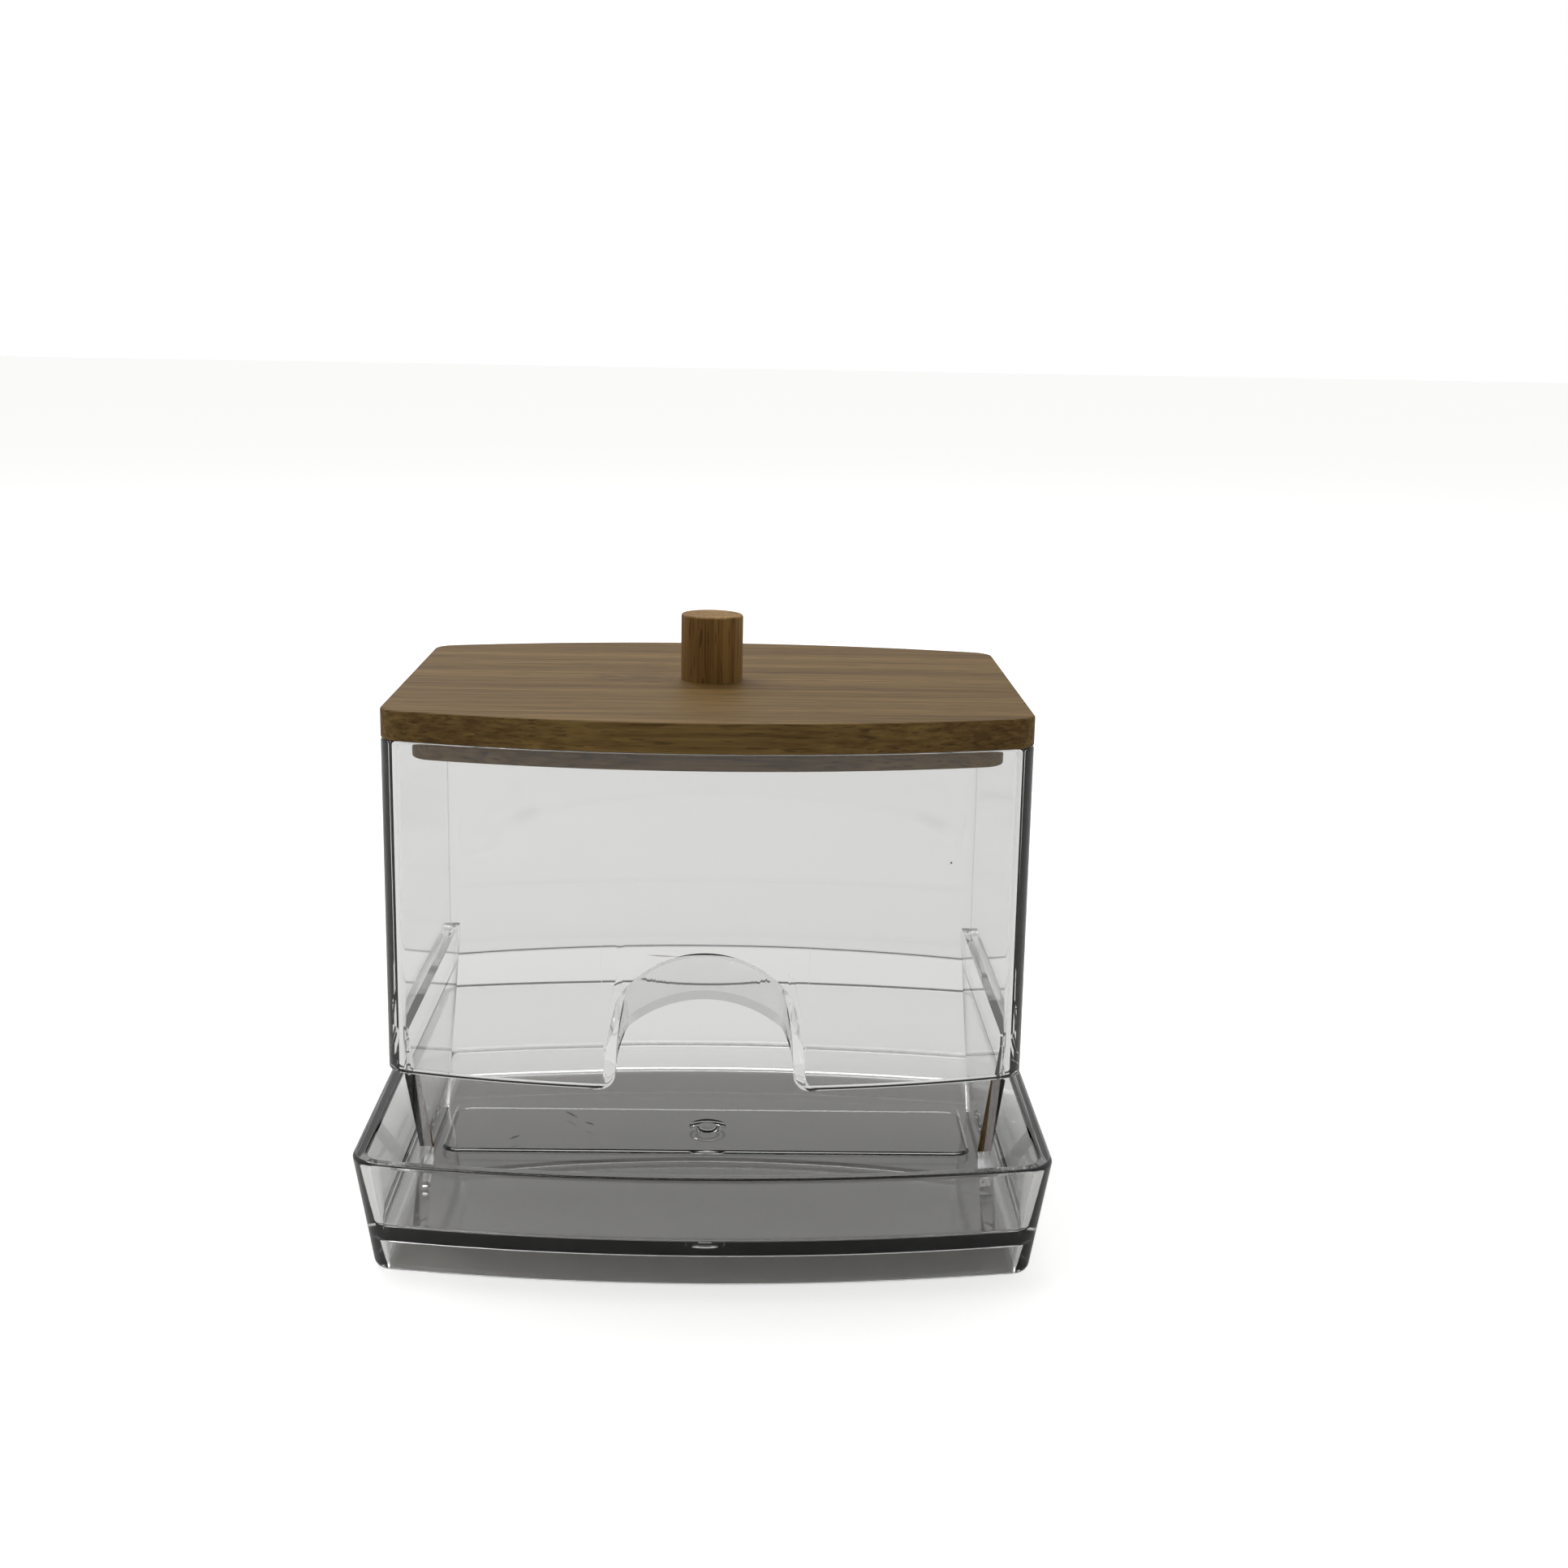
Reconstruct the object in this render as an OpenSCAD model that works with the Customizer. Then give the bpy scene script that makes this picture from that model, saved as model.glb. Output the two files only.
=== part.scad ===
// Cotton swab dispenser: a clear hopper that stands in a clear tray, under a bamboo lid with a knob.
// Origin: centre of the tray's footprint on the table. The finger notch faces -Y, +Z is up.

/* [Hopper] */
// Width of the hopper and of the lid, side to side
hopper_w = 98; // [90:0.5:120]
// Depth of the straight sides, before the front and the rear bow out
side_depth = 61.2; // [54:0.2:80]
// How far the front and the rear bow out past the sides
bow = 7.5; // [3:0.1:10]
// Radius of the upright corners
corner_r = 4; // [3:0.1:8]
// Thickness of the clear plastic walls
wall = 2.3; // [1.6:0.1:2.6]
// Thickness of the hood over the finger notch
hood_wall = 1.8; // [1.2:0.1:2.2]
// Height of the hopper's rim above the table
rim_z = 80.8; // [70:0.1:120]
// Height of the front and rear walls' lower edges above the table
skirt_z = 28.7; // [26:0.1:36]

/* [Finger notch] */
// Half width of the notch at its foot
notch_half_w = 13.4; // [11:0.1:18]
// Half width of the notch where its arch springs
notch_spring_half_w = 11.7; // [9:0.1:13]
// Height of the outer arch's springing above the walls' lower edges
outer_spring_h = 16.3; // [14:0.1:20]
// Height of the outer arch's crown above the walls' lower edges
outer_crown_h = 21.5; // [20:0.1:28]
// Height of the inner arch's springing above the walls' lower edges
inner_spring_h = 7.9; // [6:0.1:9]
// Height of the inner arch's crown above the walls' lower edges
inner_crown_h = 11.6; // [10:0.1:13]
// How far the hood between the two arches slopes in
hood_depth = 7.1; // [4:0.1:9]
// Radius at the notch's lower corners
notch_corner_r = 2.8; // [1.5:0.1:4]

/* [Legs] */
// Length of each leg's foot, front to back
foot_len = 18; // [10:0.5:30]
// Height above the table where the legs reach their full width
leg_top_z = 35.4; // [32:0.1:42]
// Clearance between a leg and the edge of the tray's flat floor
leg_clear = 0.25; // [0.1:0.05:0.6]

/* [Tray] */
// How far the tray's rim stands out past each side of the hopper
tray_side_reach = 4.3; // [3.8:0.1:6]
// How far the tray's rim stands out past the corners at the front and the rear
tray_end_reach = 11.6; // [8:0.1:20]
// How far the tray's front and rear bow out
tray_bow = 5.4; // [3:0.1:8]
// Radius of the rim's corners
tray_corner_r = 5.5; // [5:0.1:9]
// Height of the tray
tray_h = 18.7; // [15:0.1:24]
// Slope of the tray's walls from the vertical, in degrees
tray_draft = 9.5; // [4:0.5:12]
// Height of the floor's upper face above the table
floor_z = 7.3; // [6.5:0.1:10]
// Thickness of the floor
floor_t = 2.2; // [1.6:0.1:2.4]
// Fillet between the floor and the walls
floor_fillet = 1.2; // [0.6:0.1:1.8]
// Length of the raised pad on the floor, side to side
pad_w = 88; // [70:1:90]
// Depth of the raised pad, front to back
pad_depth = 22; // [14:0.5:40]
// Height of the raised pad
pad_h = 0.5; // [0.3:0.1:1]
// Diameter of the round moulding mark in the pad's middle
gate_d = 6.2; // [4:0.1:10]

/* [Lid] */
// Thickness of the bamboo board
board_t = 4.6; // [3.5:0.1:8]
// How far the plug under the board reaches into the hopper
plug_h = 3.4; // [2:0.1:6]
// Gap between the plug and the hopper's inner face
plug_gap = 2.2; // [0.5:0.1:3]
// Radius of the plug's corners
plug_corner_r = 4; // [2:0.1:8]

/* [Knob] */
// Diameter of the dowel knob
knob_d = 10; // [8:0.5:16]
// Height of the knob
knob_h = 10.7; // [8:0.1:20]
// Bevel around the knob's top
knob_bevel = 0.3; // [0.2:0.1:0.8]

/* [Hidden] */

clear_plastic = [0.86, 0.88, 0.89, 0.4];
bamboo = [0.55, 0.42, 0.24];
bamboo_knob = [0.6, 0.46, 0.27];

// Number of steps in a corner's arc and along a bowed wall
corner_steps = 8;
bow_steps = 40;
// Thickness of the slices that a tapered block is stretched between
slice = 0.01;
// How far a cut runs past the face that it opens
past = 1;

hopper_half_w = hopper_w / 2;
side_half_depth = side_depth / 2;
rim_half_w = hopper_half_w + tray_side_reach;
rim_half_depth = side_half_depth + tray_end_reach;
floor_under_z = floor_z - floor_t;
board_top_z = rim_z + board_t;
foot_z = floor_z;
plug_inset = wall + plug_gap;

// Outline of a rectangle with bowed front and rear and rounded corners, drawn in by inset.
// half_d is half the length of the straight sides before the corners are rounded.
function bowed_outline(half_w, half_d, sag, corner, inset) =
    let(
        full_r = (half_w * half_w + sag * sag) / (2 * sag),
        centre_y = half_d + sag - full_r,
        w = half_w - inset,
        arc_r = full_r - inset,
        c = corner - inset,
        fillet_x = w - c,
        fillet_y = centre_y + sqrt(pow(arc_r - c, 2) - fillet_x * fillet_x),
        turn = acos(fillet_x / (arc_r - c)),
        half = concat(
            [for (i = [0:corner_steps]) let(a = turn * i / corner_steps)
                [fillet_x + c * cos(a), fillet_y + c * sin(a)]],
            [for (i = [1:bow_steps - 1]) let(a = turn + (180 - 2 * turn) * i / bow_steps)
                [arc_r * cos(a), centre_y + arc_r * sin(a)]],
            [for (i = [0:corner_steps]) let(a = 180 - turn + turn * i / corner_steps)
                [-fillet_x + c * cos(a), fillet_y + c * sin(a)]]
        )
    )
    concat(half, -half);

function hopper_outline(inset) = bowed_outline(hopper_half_w, side_half_depth, bow, corner_r, inset);
function tray_outline(inset) = bowed_outline(rim_half_w, rim_half_depth, tray_bow, tray_corner_r, inset);

// How far the tray's sloping wall has come in at height z
function taper_at(z) = (tray_h - z) * tan(tray_draft);

// Distance of the hopper's outer front face from the middle plane, at x
hopper_bow_r = (pow(hopper_half_w, 2) + bow * bow) / (2 * bow);
function front_face(x) = side_half_depth + bow - hopper_bow_r + sqrt(pow(hopper_bow_r, 2) - x * x);

// Finger notch: half of its outline, from the foot up to the crown, as x and height.
// The foot's corner is rounded, the flank leans in to the springing, and an arc closes the top.
foot_steps = 5;
flank_steps = 8;
arch_steps = 12;
function notch_half(spring_half_w, spring, crown) =
    let(
        rise = crown - spring,
        arch_r = (pow(spring_half_w, 2) + rise * rise) / (2 * rise),
        arch_turn = asin(spring_half_w / arch_r),
        flank_z = skirt_z + notch_corner_r
    )
    concat(
        [[notch_half_w + notch_corner_r, skirt_z - notch_corner_r]],
        [for (i = [0:foot_steps]) let(a = 90 * i / foot_steps)
            [notch_half_w + notch_corner_r * (1 - sin(a)), skirt_z + notch_corner_r * (1 - cos(a))]],
        [for (i = [1:flank_steps]) let(t = i / flank_steps)
            [notch_half_w + (spring_half_w - notch_half_w) * t * t, flank_z + (spring - flank_z) * t]],
        [for (i = [1:arch_steps]) let(a = arch_turn * (1 - i / arch_steps))
            [arch_r * sin(a), crown - arch_r * (1 - cos(a))]]
    );

outer_spring = skirt_z + outer_spring_h;
outer_crown = skirt_z + outer_crown_h;
outer_half = notch_half(notch_spring_half_w, outer_spring, outer_crown);
inner_half = notch_half(notch_spring_half_w, skirt_z + inner_spring_h, skirt_z + inner_crown_h);
first_flank = foot_steps + 1;

// The hood's free edge lies in a plane that leans in from the notch's foot. This is how far in it is
// at height z, and never quite nothing, so that the notch's rings of points stay apart.
least_depth = 0.1;
function hood_in(z) = max(least_depth, hood_depth * (z - skirt_z) / inner_crown_h);

// Way that a half outline faces at one of its points, as x and height. The foot faces sideways.
function facing(half, i) =
    let(
        last = len(half) - 1,
        along = i == last ? [-1, 0] : half[i + 1] - half[max(i - 1, 0)]
    )
    i <= first_flank ? [1, 0] : [along[1], -along[0]] / norm(along);

// Whole outline as points in space. out and up move it outwards, front moves it in from the face,
// and leaning follows the hood's sloping plane.
function notch_ring(half, front, leaning, out, up) =
    let(
        last = len(half) - 1,
        side = [for (i = [0:last])
            let(p = half[i], way = facing(half, i))
            [p[0] + out * way[0],
             front - front_face(p[0]) + (leaning ? hood_in(p[1]) : 0),
             p[1] + up * way[1]]]
    )
    concat(side, [for (i = [last - 1:-1:0]) [-side[i][0], side[i][1], side[i][2]]]);

// Closed solid through rings with equal numbers of points, with flat fans at both ends
module loft(rings) {
    n = len(rings[0]);
    last = len(rings) - 1;
    points = [for (ring = rings) each ring];
    walls = [for (j = [0:last - 1]) for (i = [0:n - 1])
        let(a = j * n + i, b = j * n + (i + 1) % n)
        each [[a, b, b + n], [a, b + n, a + n]]];
    half = (n - 1) / 2;
    front_cap = [for (i = [0:half - 1]) each
        (i == half - 1 ? [[i, n - 1 - i, i + 1]] : [[i, n - 1 - i, i + 1], [i + 1, n - 1 - i, n - 2 - i]])];
    rear_cap = [for (f = front_cap) [f[0], f[2], f[1]] + [last * n, last * n, last * n]];
    polyhedron(points = points, faces = concat(walls, front_cap, rear_cap), convexity = 6);
}

// Air in front of the hood and under it
module notch_air() {
    loft([
        notch_ring(outer_half, -past, false, 0, 0),
        notch_ring(outer_half, 0, false, 0, 0),
        notch_ring(inner_half, 0, true, 0, 0),
        notch_ring(inner_half, hood_depth + wall + past, false, 0, 0)
    ]);
}

// The hood's own plastic, before the air is taken out of it, cut off at the walls' lower edges
module hood_block() {
    slope = (outer_crown_h - inner_crown_h) / hood_depth;
    thick_up = hood_wall * sqrt(1 + slope * slope);
    intersection() {
        loft([
            notch_ring(outer_half, least_depth, false, hood_wall, thick_up),
            notch_ring(inner_half, least_depth, true, hood_wall, thick_up)
        ]);
        translate([-hopper_half_w, -hopper_half_w, skirt_z])
        cube([hopper_w, hopper_w, rim_z - skirt_z]);
    }
}

// Upright tube in the hopper's outline
module hopper_walls() {
    translate([0, 0, skirt_z])
    linear_extrude(rim_z - skirt_z)
    difference() {
        polygon(hopper_outline(0));
        polygon(hopper_outline(wall));
    }
}

// Outer face of the legs, just inside the edge of the tray's flat floor
leg_outer_x = rim_half_w - wall - taper_at(floor_z) - floor_fillet - leg_clear;

// One leg: a plate against the side wall that narrows to its foot
module leg() {
    top = side_half_depth - wall;
    foot = foot_len / 2;
    translate([leg_outer_x - wall, 0, 0])
    rotate([90, 0, 90])
    linear_extrude(wall)
    polygon([
        [-foot, foot_z],
        [foot, foot_z],
        [top, leg_top_z - wall],
        [top, leg_top_z],
        [-top, leg_top_z],
        [-top, leg_top_z - wall]
    ]);
}

module hopper() {
    color(clear_plastic)
    difference() {
        union() {
            hopper_walls();
            hood_block();
            for (side = [0, 1]) mirror([side, 0, 0]) leg();
        }
        notch_air();
    }
}

// Block between two heights that follows the tray's sloping wall, drawn in by the insets given
module tray_block(z0, z1, inset0, inset1) {
    hull() {
        translate([0, 0, z0]) linear_extrude(slice) polygon(tray_outline(inset0));
        translate([0, 0, z1 - slice]) linear_extrude(slice) polygon(tray_outline(inset1));
    }
}

// Raised pad with rounded corners on the tray's floor
module pad() {
    pad_corner_r = pad_depth / 8;
    translate([0, 0, floor_z - floor_t / 2])
    linear_extrude(floor_t / 2 + pad_h)
    hull()
    for (x = [-1, 1], y = [-1, 1])
    translate([x * (pad_w / 2 - pad_corner_r), y * (pad_depth / 2 - pad_corner_r)])
    circle(r = pad_corner_r, $fn = 32);
}

// Ring-shaped dimple that the moulding gate left
module gate_mark() {
    groove_r = gate_d / 8;
    translate([0, 0, floor_z + pad_h])
    rotate_extrude($fn = 64)
    translate([gate_d / 2 - groove_r, 0])
    circle(r = groove_r, $fn = 24);
}

module tray() {
    rise = taper_at(floor_z);
    fillet_top = floor_z + floor_fillet;
    color(clear_plastic)
    difference() {
        union() {
            difference() {
                tray_block(0, tray_h, taper_at(0), 0);
                tray_block(fillet_top, tray_h + past, wall + taper_at(fillet_top), wall + taper_at(tray_h + past));
                tray_block(floor_z, fillet_top + slice, wall + rise + floor_fillet, wall + taper_at(fillet_top));
                tray_block(-past, floor_under_z, wall + taper_at(-past), wall + taper_at(floor_under_z));
            }
            pad();
        }
        gate_mark();
    }
}

module lid() {
    color(bamboo) {
        translate([0, 0, rim_z])
        linear_extrude(board_t)
        polygon(hopper_outline(0));
        translate([0, 0, rim_z - plug_h])
        linear_extrude(plug_h + board_t / 2)
        polygon(bowed_outline(hopper_half_w, side_half_depth, bow, plug_corner_r + plug_inset, plug_inset));
    }
}

module knob() {
    r = knob_d / 2;
    color(bamboo_knob)
    translate([0, 0, board_top_z])
    rotate_extrude($fn = 96)
    polygon([[0, 0], [r, 0], [r, knob_h - knob_bevel], [r - knob_bevel, knob_h], [0, knob_h]]);
}

tray();
hopper();
lid();
knob();
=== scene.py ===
"""Cotton swab dispenser: a clear hopper in a clear tray under a bamboo lid, laid out as an add-on."""
import math

import bmesh
import bpy
from bpy.props import FloatProperty, FloatVectorProperty, IntProperty, PointerProperty
from mathutils import Matrix, Vector


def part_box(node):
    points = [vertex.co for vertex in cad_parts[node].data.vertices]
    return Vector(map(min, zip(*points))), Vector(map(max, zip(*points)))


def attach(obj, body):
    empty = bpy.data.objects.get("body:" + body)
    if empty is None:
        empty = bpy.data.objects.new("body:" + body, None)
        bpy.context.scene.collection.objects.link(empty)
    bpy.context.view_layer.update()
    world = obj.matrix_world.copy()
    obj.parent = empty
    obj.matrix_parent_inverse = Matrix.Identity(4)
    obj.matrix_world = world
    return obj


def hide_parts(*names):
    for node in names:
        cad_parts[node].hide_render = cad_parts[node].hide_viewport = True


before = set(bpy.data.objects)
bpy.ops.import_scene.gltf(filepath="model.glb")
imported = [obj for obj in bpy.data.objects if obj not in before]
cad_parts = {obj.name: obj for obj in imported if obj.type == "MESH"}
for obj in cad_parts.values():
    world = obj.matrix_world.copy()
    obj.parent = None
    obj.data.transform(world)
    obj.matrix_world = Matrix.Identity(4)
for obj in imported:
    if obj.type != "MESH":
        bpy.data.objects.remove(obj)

bl_info = {
    "name": "Cotton swab dispenser",
    "version": (1, 0, 0),
    "blender": (4, 5, 0),
    "location": "View3D > Sidebar > Dispenser",
    "description": "Builds a clear cotton swab dispenser with a bamboo lid",
    "category": "Object",
}

MM = 0.001
# What the frame's boxes don't give: the straight sides' half lengths and the hopper's corner
HOPPER_STRAIGHT = 30.6 * MM
HOPPER_CORNER = 4 * MM
TRAY_STRAIGHT = 42.2 * MM
LID_LOW, LID_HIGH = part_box("lid")
KNOB_LOW, KNOB_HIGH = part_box("knob")
TRAY_LOW, TRAY_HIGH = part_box("tray")
HOPPER_LOW, HOPPER_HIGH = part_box("hopper")
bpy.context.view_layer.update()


def linear(hex_colour):
    """The linear values of an sRGB colour written as six hex digits."""
    values = [int(hex_colour[i:i + 2], 16) / 255 for i in (0, 2, 4)]
    return tuple(v / 12.92 if v <= 0.04045 else ((v + 0.055) / 1.055) ** 2.4 for v in values)


def size(name, default, description):
    """A length property, in metres."""
    return FloatProperty(name=name, default=default, unit="LENGTH", description=description)


def colour(name, hex_colour, description):
    """A colour property with an sRGB default."""
    return FloatVectorProperty(
        name=name, size=3, subtype="COLOR", min=0, max=1, default=linear(hex_colour), description=description)


class DispenserHopper(bpy.types.PropertyGroup):
    half_width: size("Half width", HOPPER_HIGH.x, "Half the hopper's width")
    half_depth: size("Straight half depth", HOPPER_STRAIGHT, "Half the length of the straight sides")
    bow: size("Bow", HOPPER_HIGH.y - HOPPER_STRAIGHT, "How far the front and the rear bow out")
    corner: size("Corner radius", HOPPER_CORNER, "Radius of the upright corners")
    wall: size("Wall", 2.3 * MM, "Thickness of the walls")
    skirt: size("Skirt height", 28.7 * MM, "Height of the walls' lower edges")
    edge: size("Edge rounding", 0.45 * MM, "Rounding of the rim and of the lower edges")
    foot: size("Foot height", HOPPER_LOW.z, "Height of the tray's floor under the legs")
    leg_x: size("Leg face", 47.64 * MM, "Outer face of the legs")
    leg_top: size("Leg top", 35.4 * MM, "Height where the legs end against the walls")
    foot_half: size("Foot half length", 9 * MM, "Half the length of a leg's foot")


class DispenserNotch(bpy.types.PropertyGroup):
    half_width: size("Half width", 13.4 * MM, "Half the notch's width at its foot")
    spring_half_width: size("Springing half width", 11.7 * MM, "Half width where the arch springs")
    outer_spring: size("Outer springing", 16.3 * MM, "Outer arch's springing above the skirt")
    outer_crown: size("Outer crown", 21.5 * MM, "Outer arch's crown above the skirt")
    inner_spring: size("Inner springing", 7.9 * MM, "Inner arch's springing above the skirt")
    inner_crown: size("Inner crown", 11.6 * MM, "Inner arch's crown above the skirt")
    depth: size("Hood depth", 7.1 * MM, "How far the hood slopes in")
    hood: size("Hood thickness", 1.8 * MM, "Thickness of the hood")
    corner: size("Corner radius", 2.8 * MM, "Radius at the notch's foot")


class DispenserTray(bpy.types.PropertyGroup):
    half_width: size("Half width", TRAY_HIGH.x, "Half the rim's width")
    half_depth: size("Straight half depth", TRAY_STRAIGHT, "Half the length of the rim's straight sides")
    bow: size("Bow", TRAY_HIGH.y - TRAY_STRAIGHT, "How far the rim's front and rear bow out")
    corner: size("Corner radius", 5.5 * MM, "Radius of the rim's corners")
    height: size("Height", TRAY_HIGH.z, "Height of the rim")
    wall: size("Wall", 2.3 * MM, "Thickness of the walls")
    draft: FloatProperty(
        name="Draft", default=math.radians(9.5), unit="ROTATION", description="Slope of the walls")
    floor: size("Floor height", 7.3 * MM, "Height of the floor's upper face")
    floor_thick: size("Floor thickness", 2.2 * MM, "Thickness of the floor")
    fillet: size("Floor fillet", 1.2 * MM, "Fillet between the floor and the walls")
    rim_edge: size("Rim rounding", 0.6 * MM, "Rounding of the rim")
    foot_edge: size("Foot rounding", 1.6 * MM, "Rounding of the lower outer edge")
    pad_half_width: size("Pad half width", 44 * MM, "Half the raised pad's length")
    pad_half_depth: size("Pad half depth", 11 * MM, "Half the raised pad's depth")
    pad_height: size("Pad height", 0.5 * MM, "Height of the raised pad")
    gate: size("Gate mark radius", 3.1 * MM, "Radius of the round moulding mark")


class DispenserLid(bpy.types.PropertyGroup):
    half_width: size("Half width", LID_HIGH.x, "Half the board's width")
    half_depth: size("Straight half depth", HOPPER_STRAIGHT, "Half the length of the straight ends")
    bow: size("Bow", LID_HIGH.y - HOPPER_STRAIGHT, "How far the board's front and rear bow out")
    corner: size("Corner radius", HOPPER_CORNER, "Radius of the board's corners")
    top: size("Top", LID_HIGH.z, "Height of the board's upper face")
    rim: size("Rim height", HOPPER_HIGH.z, "Height of the board's lower face")
    plug_bottom: size("Plug bottom", LID_LOW.z, "Height of the plug's lower face")
    plug_inset: size("Plug inset", 4.5 * MM, "How far the plug stands in from the board's edge")
    plug_corner: size("Plug corner radius", 4 * MM, "Radius of the plug's corners")
    edge: size("Edge easing", 0.35 * MM, "Rounding of the sanded edges")
    knob_radius: size("Knob radius", KNOB_HIGH.x, "Radius of the dowel knob")
    knob_bottom: size("Knob bottom", KNOB_LOW.z, "Height of the knob's foot")
    knob_top: size("Knob top", KNOB_HIGH.z, "Height of the knob's top")


class DispenserColours(bpy.types.PropertyGroup):
    plastic: colour("Plastic", "fafafa", "What the clear plastic tints the light behind it")
    board: colour("Bamboo board", "8a6d3a", "The board's main colour")
    board_dark: colour("Bamboo grain", "5e451d", "The board's darker fibres")
    fleck: colour("Bamboo fleck", "38240f", "The short dark flecks in the fibres")
    dowel: colour("Dowel", "b08a50", "The knob's main colour")
    dowel_dark: colour("Dowel grain", "83602e", "The knob's darker fibres")
    scuff: colour("Scuff", "4a4742", "The dark scuffs and specks on the plastic")
    floor: colour("Floor", "f2f2f0", "The studio floor")
    # Painted shade: the darker colour laid on the floor under the tray, in place of the tray's shadow
    shade: colour("Floor in the shade", "6d6a62", "The studio floor under the tray")


class DispenserDetail(bpy.types.PropertyGroup):
    steps: IntProperty(
        name="Steps", default=48, min=8, max=120, description="Steps in a quarter of an outline")


def add(tree, kind, inputs=(), **settings):
    """Add a node, give it its settings, and fill its inputs with values or with links from nodes."""
    made = tree.nodes.new(kind)
    for name, value in settings.items():
        setattr(made, name, value)
    for key, value in inputs.items() if isinstance(inputs, dict) else enumerate(inputs):
        if isinstance(value, bpy.types.Node):
            value = value.outputs[0]
        if isinstance(value, bpy.types.NodeSocket):
            tree.links.new(value, made.inputs[key])
        elif value is not None:
            made.inputs[key].default_value = value
    return made


def fresh_tree(owner):
    """The node tree of a material or a world, switched on and emptied."""
    owner.use_nodes = True
    owner.node_tree.nodes.clear()
    return owner.node_tree


def bow_radius(half_width, bow):
    """Radius of the arc that bows out by bow over twice half_width."""
    return (half_width ** 2 + bow ** 2) / (2 * bow)


def rounded(corners):
    """A polyline through corners of (across, height, radius), each rounded by its radius."""
    steps = 5
    points = []
    for i, (x, z, radius) in enumerate(corners):
        here = Vector((x, z))
        if not radius or i in (0, len(corners) - 1):
            points.append(here)
            continue
        before = (Vector(corners[i - 1][:2]) - here).normalized()
        after = (Vector(corners[i + 1][:2]) - here).normalized()
        half = before.angle(after) / 2
        centre = here + (before + after).normalized() * (radius / math.sin(half))
        start = here + before * (radius / math.tan(half)) - centre
        end = here + after * (radius / math.tan(half)) - centre
        turn = start.angle_signed(end)
        points += [centre + Matrix.Rotation(-turn * k / steps, 2) @ start for k in range(steps + 1)]
    return points


def bridge(shape, rows):
    """Join each closed row of vertices to the next with a band of faces."""
    for low, high in zip(rows, rows[1:]):
        for i in range(len(low)):
            j = (i + 1) % len(low)
            shape.faces.new((low[i], low[j], high[j], high[i]))


def loft(name, rings):
    """An object through rings with equal numbers of points, with a flat face at either end."""
    shape = bmesh.new()
    rows = [[shape.verts.new(p) for p in ring] for ring in rings]
    bridge(shape, rows)
    shape.faces.new(rows[0][::-1])
    shape.faces.new(rows[-1])
    bmesh.ops.recalc_face_normals(shape, faces=shape.faces)
    return as_object(name, shape)


def as_object(name, shape):
    """Turn a bmesh into an object in the scene."""
    mesh = bpy.data.meshes.new(name)
    shape.to_mesh(mesh)
    shape.free()
    made = bpy.data.objects.new(name, mesh)
    bpy.context.scene.collection.objects.link(made)
    return made


def settle(obj):
    """Bake an object's modifiers into its mesh and take them off."""
    graph = bpy.context.evaluated_depsgraph_get()
    graph.update()
    mesh = bpy.data.meshes.new_from_object(obj.evaluated_get(graph))
    obj.modifiers.clear()
    obj.data = mesh
    return obj


def smooth(obj, degrees=32, flat=()):
    """Shade an object smooth, with its sharper edges crisp and its wide faces optically flat."""
    obj.data.shade_smooth()
    obj.data.set_sharp_from_angle(angle=math.radians(degrees))
    keys = {key for i in flat for key in obj.data.polygons[i].edge_keys}
    for edge in obj.data.edges:
        if edge.key in keys:
            edge.use_edge_sharp = True
    flatten = obj.modifiers.new("Flat faces first", "WEIGHTED_NORMAL")
    flatten.mode, flatten.weight, flatten.keep_sharp = "FACE_AREA", 100, True
    return settle(obj)


def finish_piece(obj, material, node):
    """Give a piece its one material and let it stand for its CAD node."""
    obj.data.materials.clear()
    obj.data.materials.append(material)
    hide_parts(node)
    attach(obj, "root")


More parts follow.
